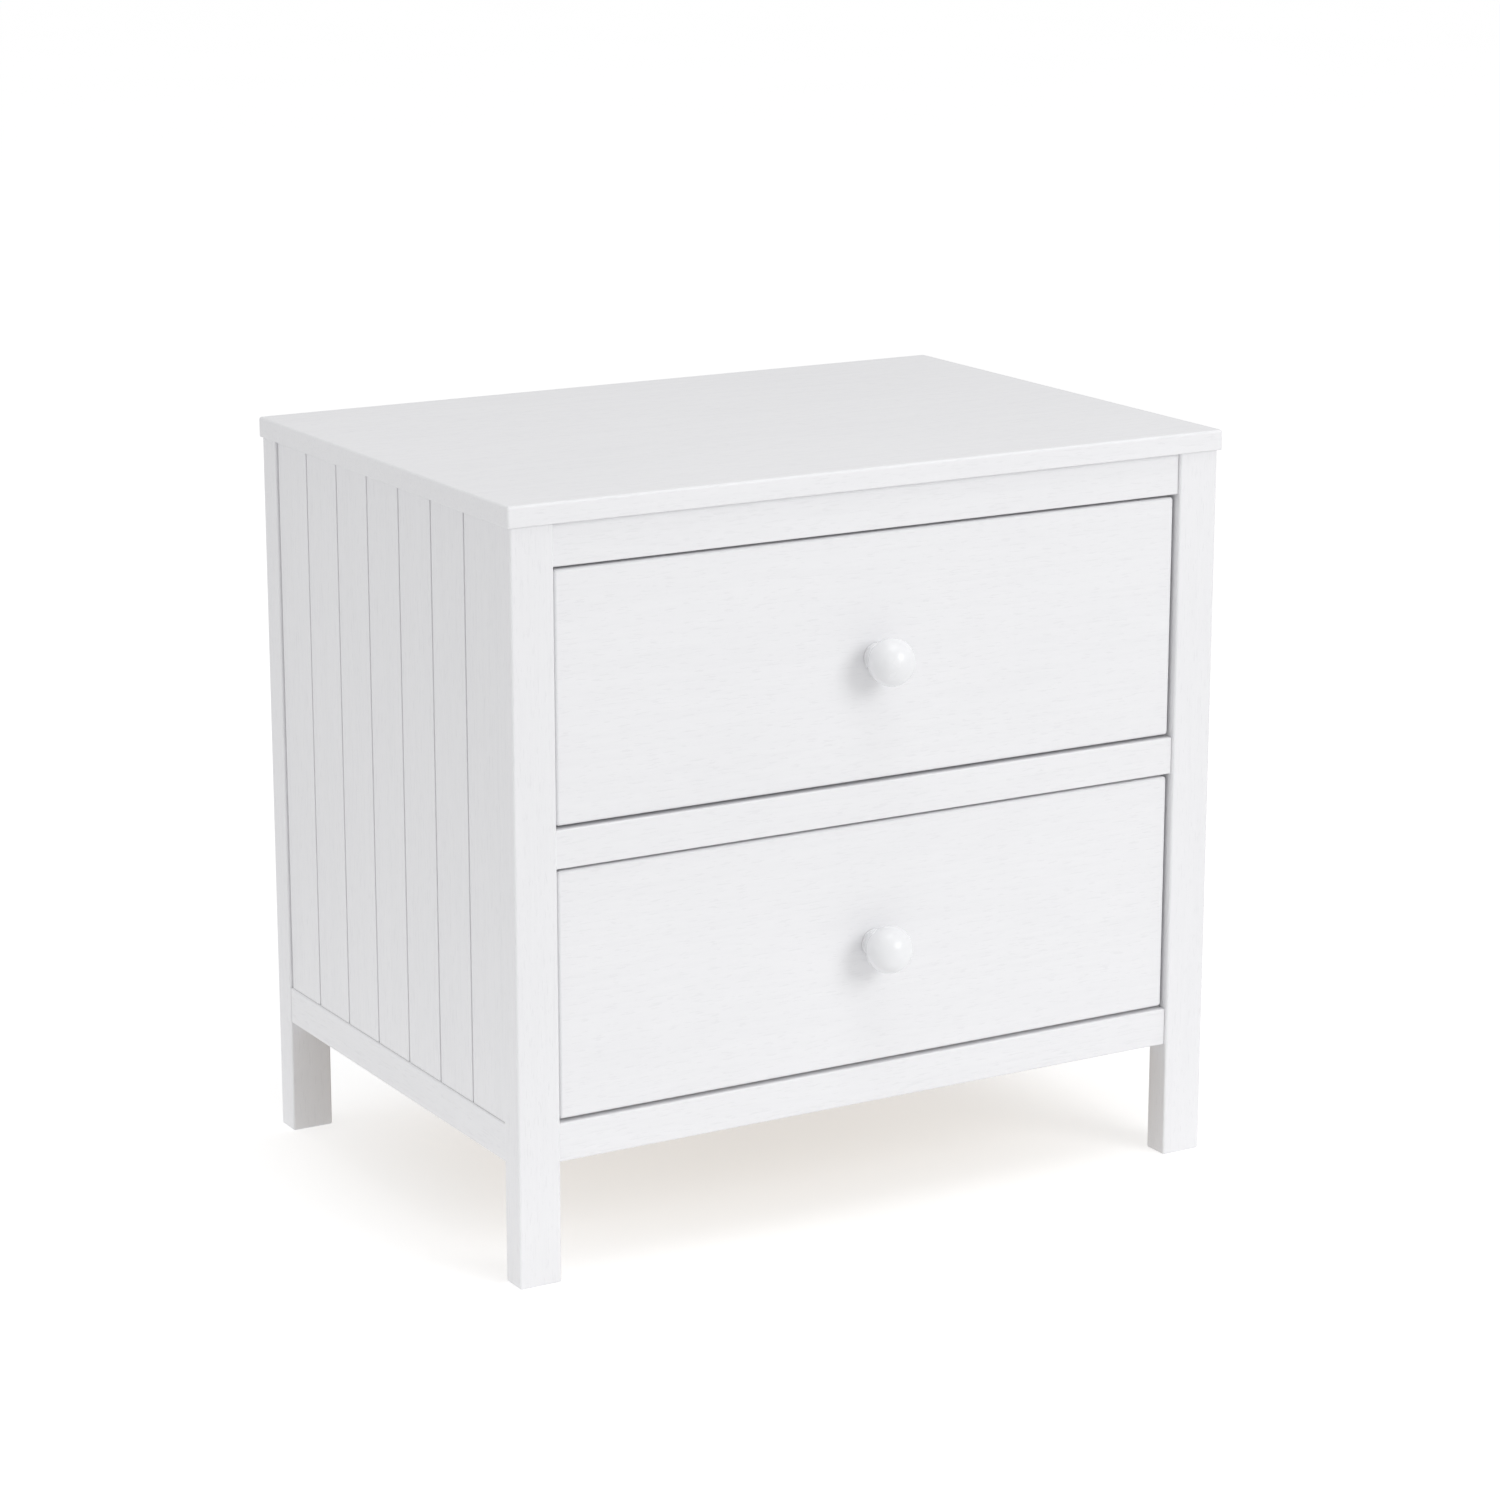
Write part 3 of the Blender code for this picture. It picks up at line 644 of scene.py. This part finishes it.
for level in LEVELS:
    low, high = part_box(f"knob_{level}")
    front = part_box(f"drawer_{level}_front")[0].y
    foot = Vector(((low.x + high.x) / 2, front, (low.z + high.z) / 2))
    profile = knob_profile((high.x - low.x) / 2, front - low.y)
    mesh = turned(f"round_knob_{level}", profile, foot, (0, -1, 0), KNOB_STEPS)
    add_piece(f"round_knob_{level}", mesh, KNOB_FINISH, [f"knob_{level}"])
print("knob:", round(1000 * (high.x - low.x), 1), "mm across,",
      round(1000 * (front - low.y), 1), "mm out")

# %% [markdown]
# ## Drawer boxes
# Behind each front is a box of thin pine boards with a plywood bottom that slides into grooves.
# The sides are drawn out from an outline with rounded upper edges, which a hand feels, and with
# the groove for the bottom. The back is a board that stands on the bottom, and the bottom itself
# is a thin sheet.

# %% Drawer sides with their grooves
BOX_TOP_RADIUS = 0.0034
BOX_EDGE = 0.0008
GROOVE_LIP = 0.0002
SHEET_EDGE = 0.0004


def side_corners(inner, outer, low, high, groove_low, groove_high, groove_x):
    """The outline of a drawer side for the side that faces larger x, seen from the front."""
    return [(inner, low, BOX_EDGE), (outer, low, BOX_EDGE), (outer, high, BOX_TOP_RADIUS),
            (inner, high, BOX_TOP_RADIUS), (inner, groove_high, GROOVE_LIP),
            (groove_x, groove_high, 0.0), (groove_x, groove_low, 0.0),
            (inner, groove_low, GROOVE_LIP)]


for level in LEVELS:
    bottom_low, bottom_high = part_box(f"drawer_{level}_bottom")
    for side, sign in (("left", -1), ("right", 1)):
        node = f"drawer_{level}_side_{side}"
        low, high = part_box(node)
        inner, outer = sorted((abs(low.x), abs(high.x)))
        corners = side_corners(inner, outer, low.z, high.z, bottom_low.z - SEAT_GAP,
                               bottom_high.z + SEAT_GAP, bottom_high.x + SEAT_GAP)
        mesh = drawn_out(node + "_board", corners, low.y, high.y, lambda x, z, y: (sign * x, y, z))
        add_piece(node + "_board", mesh, pine_along[Y], [node])
    half_way = (low.z + high.z) / 2
    add_board(f"drawer_{level}_back", X, BOX_TOP_RADIUS,
              lambda middle: middle.z > half_way and abs(middle.x) < BOX_TOP_RADIUS,
              pine_along[X])
    add_board(f"drawer_{level}_bottom", X, SHEET_EDGE, finish=PLY_FINISH)
print("drawer boxes:", [round(1000 * size, 1) for size in high - low], "mm sides")

# %% [markdown]
# ## Cutting holes
# Steel strips have slots and screws have a crossed recess. A Boolean modifier cuts them, and it
# is turned into mesh at once, so that no cutter is left in the scene.


# %% Carve one mesh with another
def carved(mesh, cutter_mesh):
    """The mesh with the cutter's shape taken out of it."""
    piece = bpy.data.objects.new("carve_this", mesh)
    cutter = bpy.data.objects.new("carve_with", cutter_mesh)
    for thing in (piece, cutter):
        bpy.context.scene.collection.objects.link(thing)
    cut = piece.modifiers.new("cut", "BOOLEAN")
    cut.operation = "DIFFERENCE"
    cut.solver = "EXACT"
    cut.object = cutter
    bpy.context.view_layer.update()
    evaluated = piece.evaluated_get(bpy.context.evaluated_depsgraph_get())
    result = bpy.data.meshes.new_from_object(evaluated)
    result.name = mesh.name + "_carved"
    for thing in (piece, cutter):
        bpy.data.objects.remove(thing)
    return result


# %% [markdown]
# ## Screws
# A pan-head screw is turned like a knob, with ridges for its thread, and its crossed recess is
# cut afterwards. All screws of one size share one mesh. The knobs are held from inside the
# drawer, and four more screws hold the top through its battens.

# %% One screw
HEAD_RADIUS = 0.0040
HEAD_HEIGHT = 0.0023
SHANK_RADIUS = 0.0019
THREAD_PITCH = 0.0014
THREAD_DEPTH = 0.0004
FIRST_RIDGE = 0.0006            # from the head
POINT_LENGTH = 0.0004
RIM_SHARE = 0.35                # of the head's height; the cross is cut down to the rim
HEAD_FULLNESS = 0.6             # below 1 makes the dome of the head fuller than a ball
HEAD_POINTS = 7
SCREW_STEPS = 24
CROSS_REACH = 0.56              # of the head's radius
CROSS_HALF_WIDTH = 0.13


def screw_mesh(name, length, head_radius=HEAD_RADIUS, head_height=HEAD_HEIGHT, shank=SHANK_RADIUS):
    """A screw along +Z whose head ends at 0 and whose shank runs up to length."""
    profile = [(0.0, -head_height)]
    for i in range(1, HEAD_POINTS + 1):
        angle = math.pi / 2 - math.pi / 2 * i / HEAD_POINTS
        rise = RIM_SHARE + (1 - RIM_SHARE) * math.sin(angle)
        profile.append((head_radius * math.cos(angle) ** HEAD_FULLNESS, -head_height * rise))
    profile.append((head_radius, 0.0))
    for i in range(int(length / THREAD_PITCH) - 1):
        at = FIRST_RIDGE + i * THREAD_PITCH
        profile += [(shank - THREAD_DEPTH, at), (shank, at + THREAD_PITCH / 2)]
    profile += [(shank - THREAD_DEPTH, length - POINT_LENGTH), (0.0, length)]
    body = turned(name, profile, (0, 0, 0), (0, 0, 1), SCREW_STEPS)
    tip, arm = head_radius * CROSS_REACH, head_radius * CROSS_HALF_WIDTH
    cross = []
    for i in range(4):
        quarter_turn = Matrix.Rotation(i * math.pi / 2, 2)
        for corner in ((tip, arm), (arm, arm), (arm, tip)):
            cross.append((*(quarter_turn @ Vector(corner)), 0.0))
    cutter = drawn_out("cross", cross, -2 * head_height, -head_height * RIM_SHARE,
                       lambda u, v, w: (u, v, w))
    return carved(body, cutter)


def add_screw(name, mesh, foot, direction, turn, nodes=(), body=None):
    """Drive a screw: foot is under its head and direction points along its shank."""
    piece = add_piece(name, mesh, ZINC_FINISH, nodes, body)
    lay = UP.rotation_difference(Vector(direction)).to_matrix().to_4x4()
    piece.matrix_world = Matrix.Translation(foot) @ lay @ Matrix.Rotation(turn, 4, "Z")


print("screw thread every", 1000 * THREAD_PITCH, "mm")

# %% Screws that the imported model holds
TOP_SCREW_TURN = 9              # radians per metre, so that no two crosses lie the same way
KNOB_SCREW_TURN = 7
low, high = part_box("top_screw_front_left")
top_screw = screw_mesh("top_screw", high.z - low.z - HEAD_HEIGHT)
for place in ("front", "rear"):
    for side in SIDES:
        node = f"top_screw_{place}_{side}"
        low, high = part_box(node)
        middle = (low + high) / 2
        add_screw(node + "_crossed", top_screw, (middle.x, middle.y, low.z + HEAD_HEIGHT),
                  (0, 0, 1), middle.y * TOP_SCREW_TURN, [node])
low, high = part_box("knob_screw_upper")
knob_screw = screw_mesh("knob_screw", high.y - low.y - HEAD_HEIGHT)
for level in LEVELS:
    low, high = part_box(f"knob_screw_{level}")
    middle = (low + high) / 2
    add_screw(f"knob_screw_{level}_crossed", knob_screw, (middle.x, high.y - HEAD_HEIGHT, middle.z),
              (0, -1, 0), middle.z * KNOB_SCREW_TURN, [f"knob_screw_{level}"])
print("6 screws,", round(1000 * (high.y - low.y), 1), "mm long in the knobs")

# %% [markdown]
# ## Slides
# A ball-bearing slide is three strips of rolled steel, one inside the other. Each strip is a
# channel with rounded bends. Slots and holes in its web let the maker shift it before the screws
# are driven. The channels are drawn out from their outlines, and the slots are cut with one
# Boolean.

# %% Steel channels with slots
SHEET = 0.0012
BEND = 0.0013
SLOT_HALF_LENGTH = 0.0045
SLOT_HALF_WIDTH = 0.0023
SLOT_STEPS = 8
ROUND_HALF_LENGTH = SLOT_HALF_WIDTH + 0.00001
ROUND_EVERY = 3                 # every third hole is round and takes a screw
HOLE_SPACING = 0.032
END_MARGIN = 0.025
CUT_REACH = 0.004
LIP_RADIUS = 0.0003
INNER_BEND = 0.0004


def channel_corners(web, lip, half):
    """The outline of a channel: its web is at web, and its lips reach to lip."""
    way = 1 if lip > web else -1
    inside = web + way * SHEET
    return [(web, -half, BEND), (lip, -half, LIP_RADIUS), (lip, -half + SHEET, LIP_RADIUS),
            (inside, -half + SHEET, INNER_BEND), (inside, half - SHEET, INNER_BEND),
            (lip, half - SHEET, LIP_RADIUS), (lip, half, LIP_RADIUS), (web, half, BEND)]


def slot_cutter(name, places, x_low, x_high):
    """Round-ended slots through a web; places are (y, z, half length) in the web's plane."""
    bm = bmesh.new()
    for y, z, half_length in places:
        outline = []
        for end in (1, -1):
            for i in range(SLOT_STEPS + 1):
                angle = math.pi * i / SLOT_STEPS - math.pi / 2
                reach = half_length - SLOT_HALF_WIDTH + SLOT_HALF_WIDTH * math.cos(angle)
                outline.append((y + end * reach, z + end * SLOT_HALF_WIDTH * math.sin(angle)))
        front = [bm.verts.new((x_low, u, v)) for u, v in outline]
        back = [bm.verts.new((x_high, u, v)) for u, v in outline]
        for i in range(len(outline)):
            j = (i + 1) % len(outline)
            bm.faces.new((front[i], front[j], back[j], back[i]))
        bm.faces.new(front)
        bm.faces.new(back)
    bmesh.ops.remove_doubles(bm, verts=bm.verts, dist=1e-6)
    return to_mesh(bm, name)


def add_member(node, web_is_outer):
    """Replace one strip of a slide, with its web on the case side or not; gives its holes."""
    low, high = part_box(node)
    sign = -1 if low.x < 0 else 1
    inner, outer = sorted((abs(low.x), abs(high.x)))
    web, lip = (outer, inner) if web_is_outer else (inner, outer)
    centre = (low.z + high.z) / 2
    mesh = drawn_out(node, channel_corners(web, lip, (high.z - low.z) / 2), low.y, high.y,
                     lambda x, z, y: (sign * x, y, centre + z))
    count = int((high.y - low.y - 2 * END_MARGIN) / HOLE_SPACING)
    first = (low.y + high.y) / 2 - (count - 1) * HOLE_SPACING / 2
    places = []
    for i in range(count):
        half_length = SLOT_HALF_LENGTH if i % ROUND_EVERY else ROUND_HALF_LENGTH
        places.append((first + i * HOLE_SPACING, centre, half_length))
    cut_low, cut_high = sorted((sign * (web - CUT_REACH), sign * (web + CUT_REACH)))
    mesh = carved(mesh, slot_cutter(node + "_slots", places, cut_low, cut_high))
    add_piece(node + "_channel", mesh, ZINC_FINISH, [node])
    return places


slide_holes = {}
for level in LEVELS:
    for side in SIDES:
        for member, web_is_outer in (("case", True), ("middle", True), ("drawer", False)):
            node = f"slide_{member}_{level}_{side}"
            slide_holes[node] = add_member(node, web_is_outer)
print(len(slide_holes), "steel channels,", len(slide_holes["slide_drawer_upper_left"]),
      "holes in a drawer strip")

# %% Screws that hold the slides to the drawers
HEAD_LIFT = 0.00005             # keeps the face under a head clear of the one that it lies on
FIRST_TURN = 0.4                # radians; each cross is turned on from the one before it
slide_screw = screw_mesh("slide_screw", length=0.0105, head_radius=0.0034, head_height=0.0016,
                         shank=0.0016)
for level in LEVELS:
    for side, sign in (("left", -1), ("right", 1)):
        node = f"slide_drawer_{level}_{side}"
        low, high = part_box(node)
        web_face = min(abs(low.x), abs(high.x)) + SHEET
        for i in range(0, len(slide_holes[node]), ROUND_EVERY):
            y, z, _ = slide_holes[node][i]
            add_screw(f"slide_screw_{level}_{side}_{i}", slide_screw,
                      (sign * (web_face + HEAD_LIFT), y, z), (-sign, 0, 0), FIRST_TURN + i,
                      body=f"drawer_{level}")
print("slide screws every", round(1000 * ROUND_EVERY * HOLE_SPACING), "mm")

# %% [markdown]
# ## The back of the chest
# The back board is nailed to the rear rails with small round pins. They are turned like the
# knobs, only much smaller, and spaced evenly, so the back reads as nailed and not glued.

# %% Back board and pins
PIN_SPACING = 0.075
PIN_RADIUS = 0.0016
PIN_RISE = 0.0005
PINS_FROM_EDGE = 0.016
PIN_POINTS = 5
PIN_STEPS = 16
PIN_STEM = ((0.4, 0.0001), (0.35, 0.006), (0.0, 0.007))     # share of the radius, depth


def pin_profile():
    """A low dome with a short stem."""
    profile = [(0.0, PIN_RISE)]
    for i in range(1, PIN_POINTS + 1):
        angle = math.pi / 2 - math.pi / 2 * i / PIN_POINTS
        profile.append((PIN_RADIUS * math.cos(angle), PIN_RISE * math.sin(angle)))
    return profile + [(PIN_RADIUS * share, -depth) for share, depth in PIN_STEM]


add_board("back_panel", X, SHEET_EDGE, finish=BACK_FINISH)
low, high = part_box("back_panel")
pin = turned("panel_pin", pin_profile(), (0, 0, 0), (0, 0, 1), PIN_STEPS)
lay = UP.rotation_difference(Vector((0, 1, 0))).to_matrix().to_4x4()
pinned_width = high.x - low.x - 2 * PINS_FROM_EDGE
across = int(pinned_width / PIN_SPACING)
pins = bmesh.new()
for height in (low.z + PINS_FROM_EDGE, high.z - PINS_FROM_EDGE):
    for i in range(across + 1):
        x = low.x + PINS_FROM_EDGE + i * pinned_width / across
        placed = pin.copy()
        placed.transform(Matrix.Translation((x, high.y + HEAD_LIFT, height)) @ lay)
        pins.from_mesh(placed)
add_piece("back_pins", to_mesh(pins, "back_pins"), ZINC_FINISH, body="case")
print(2 * (across + 1), "pins in the back board")

# %% [markdown]
# ## Floor and light
# The chest stands in a white studio. The white floor that is seen there and the boards that
# bounce light on to the furniture are lit separately, because a floor bright enough to look white
# would flatten every shadow. The same is done here with two sheets: one that only the camera
# sees, and one just under it that only sends light back. The bounce is weak under the chest,
# strong in a ring round it and weaker far away.

# %% Two floor sheets
FLOOR_HALF = 40.0
SEEN_DROP = 0.0002
BOUNCE_DROP = 0.0012
FLOOR_WHITE = 0.60
FLOOR_CLOUDS = 0.004            # how much the grey of the floor wanders
GLOW_RANGE = 12.0               # half widths of the chest from its middle to the last glow
# The seen floor glows less under the chest than round it, which paints a soft shadow there over the
# real one.
SEEN_GLOW = ((0.0, 0.52), (0.055, 0.54), (0.12, 0.60), (0.35, 0.58), (1.0, 0.60))
BOUNCE_GLOW = ((0.0, 0.10), (0.055, 0.12), (0.12, 0.52), (0.30, 0.24), (1.0, 0.18))


def floor_sheet(name, drop, glow_steps):
    """A wide sheet with a soft glow that depends on the distance from the chest."""
    finish, tree, shader, place = new_finish(name)
    half_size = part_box("top_panel")[1]
    footprints = add_node(tree, "ShaderNodeMapping", {
        "Vector": place, "Scale": (1 / half_size.x, 1 / half_size.y, 1.0)})
    distance = add_node(tree, "ShaderNodeVectorMath", {0: footprints.outputs["Vector"]},
                        operation="LENGTH")
    share = combine(tree, distance.outputs["Value"], 1 / GLOW_RANGE, "MULTIPLY")
    glow = tint(tree, share, [(position, (value,) * 3) for position, value in glow_steps])
    cloud = noise(tree, place, (1.5, 1.5, 1.5))
    darker, lighter = ((FLOOR_WHITE + change,) * 3 for change in (-FLOOR_CLOUDS, FLOOR_CLOUDS))
    tree.links.new(tint(tree, cloud, ((0.3, darker), (0.7, lighter))), shader.inputs["Base Color"])
    tree.links.new(glow, shader.inputs["Emission Strength"])
    shader.inputs["Emission Color"].default_value = (1.0, 1.0, 1.0, 1.0)
    shader.inputs["Roughness"].default_value = 0.9
    shader.inputs["Specular IOR Level"].default_value = 0.0
    mesh = bpy.data.meshes.new(name)
    corners = [(x * FLOOR_HALF, y * FLOOR_HALF, -drop)
               for x, y in ((-1, -1), (1, -1), (1, 1), (-1, 1))]
    mesh.from_pydata(corners, [], [(0, 1, 2, 3)])
    mesh.materials.append(finish)
    sheet = bpy.data.objects.new(name, mesh)
    bpy.context.scene.collection.objects.link(sheet)
    return sheet


seen_floor = floor_sheet("studio_floor", SEEN_DROP, SEEN_GLOW)
seen_floor.visible_diffuse = False
seen_floor.visible_glossy = False
seen_floor.visible_shadow = False
bounce_floor = floor_sheet("bounce_board", BOUNCE_DROP, BOUNCE_GLOW)
bounce_floor.visible_camera = False
print("floor:", 2 * FLOOR_HALF, "m square")

# %% [markdown]
# ## Sky and lamps
# A soft even sky gives every face most of its light; where it is seen as the wall behind the
# chest it is pure white, so that it meets the floor without a line. Three broad lamps do the
# rest, as in a furniture studio. The key stands in front, a little to the right and above, which
# makes the fronts brighter than the left side and throws the short soft shadow of each knob to
# the lower left. A soft box overhead lifts the top, and a weak fill from behind on the left keeps
# the planked side from going grey without lighting the inside of its grooves.

# %% Sky and lamps
SKY_STRENGTH = 0.66             # as a light
SEEN_SKY = 1.0                  # as the wall behind the chest
LAMP_AIM = Vector((0.0, 0.0, 0.35))
# Each lamp has a name, its watts, its width, its distance and the way to it from where it aims.
LAMPS = (("key_lamp", 76.0, 2.8, 5.0, (0.34, -0.82, 0.42)),
         ("overhead_box", 12.0, 1.6, 2.6, (0.00, -0.26, 0.96)),
         ("left_fill", 34.0, 4.0, 5.0, (-0.97, 0.20, 0.12)))
sky = bpy.data.worlds.new("studio_sky")
sky.use_nodes = True
background = sky.node_tree.nodes["Background"]
background.inputs["Color"].default_value = (1.0, 1.0, 1.0, 1.0)
seen = add_node(sky.node_tree, "ShaderNodeLightPath").outputs["Is Camera Ray"]
sky.node_tree.links.new(spread(sky.node_tree, seen, SKY_STRENGTH, SEEN_SKY),
                        background.inputs["Strength"])
bpy.context.scene.world = sky
for name, power, size, distance, way in LAMPS:
    way = Vector(way).normalized()
    lamp_data = bpy.data.lights.new(name, "AREA")
    lamp_data.shape = "DISK"
    lamp_data.energy = power
    lamp_data.size = size
    lamp = bpy.data.objects.new(name, lamp_data)
    lamp.location = LAMP_AIM + distance * way
    lamp.rotation_euler = way.to_track_quat("Z", "Y").to_euler()
    lamp.visible_camera = False
    bpy.context.scene.collection.objects.link(lamp)
bpy.context.scene.view_settings.view_transform = "Standard"
print("sky", SKY_STRENGTH, "and lamps", [name for name, *_ in LAMPS])

# %% [markdown]
# ## The camera
# A long lens from a few metres away keeps the uprights almost parallel, as furniture is usually
# shown. The camera stands front left, a little above the top, and looks slightly down.

# %% Place the camera
CAMERA_AT = (-1.6508, -2.8361, 1.1770)
CAMERA_DOWN = math.radians(14.381)
CAMERA_TURN = math.radians(-30.246)
CAMERA_LENS = 100.3
camera_data = bpy.data.cameras.new("camera")
camera_data.lens = CAMERA_LENS
camera_data.sensor_width = 36.0
camera = bpy.data.objects.new("camera", camera_data)
camera.location = CAMERA_AT
camera.rotation_euler = (math.pi / 2 - CAMERA_DOWN, 0.0, CAMERA_TURN)
bpy.context.scene.collection.objects.link(camera)
bpy.context.scene.camera = camera
print("camera", CAMERA_LENS, "mm")
